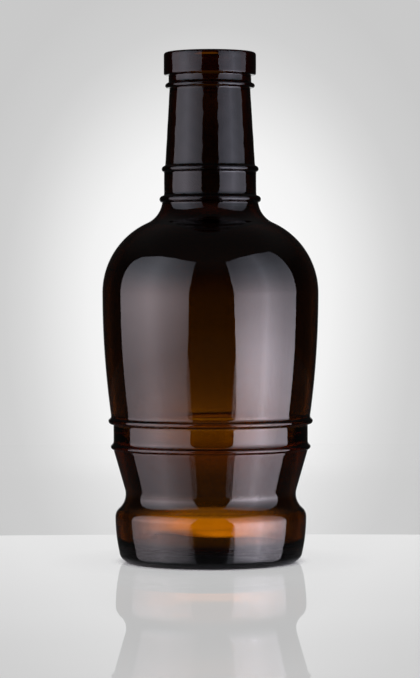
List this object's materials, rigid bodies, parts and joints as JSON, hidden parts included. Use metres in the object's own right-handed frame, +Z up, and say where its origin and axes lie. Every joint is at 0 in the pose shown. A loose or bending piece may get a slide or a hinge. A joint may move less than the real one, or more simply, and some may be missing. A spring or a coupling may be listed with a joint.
{
  "type": "glass bottle",
  "caption": "Amber glass two-litre bottle with a heavy lip over a wire groove, beaded neck collar and belt, full shoulder and a waist above a flared foot.",
  "frame": {"origin": "on the bottle's axis, in the plane of the ring that it stands on", "axes": "+Z up the bottle's axis, out of the mouth; the bottle is the same all round"},
  "size_m": [0.1318, 0.1318, 0.31],
  "materials": {
    "amber_glass": "glossy dark amber glass, darker towards the neck"
  },
  "bodies": {
    "root": {"glass_bottle": "amber_glass"}
  },
  "joints": []
}
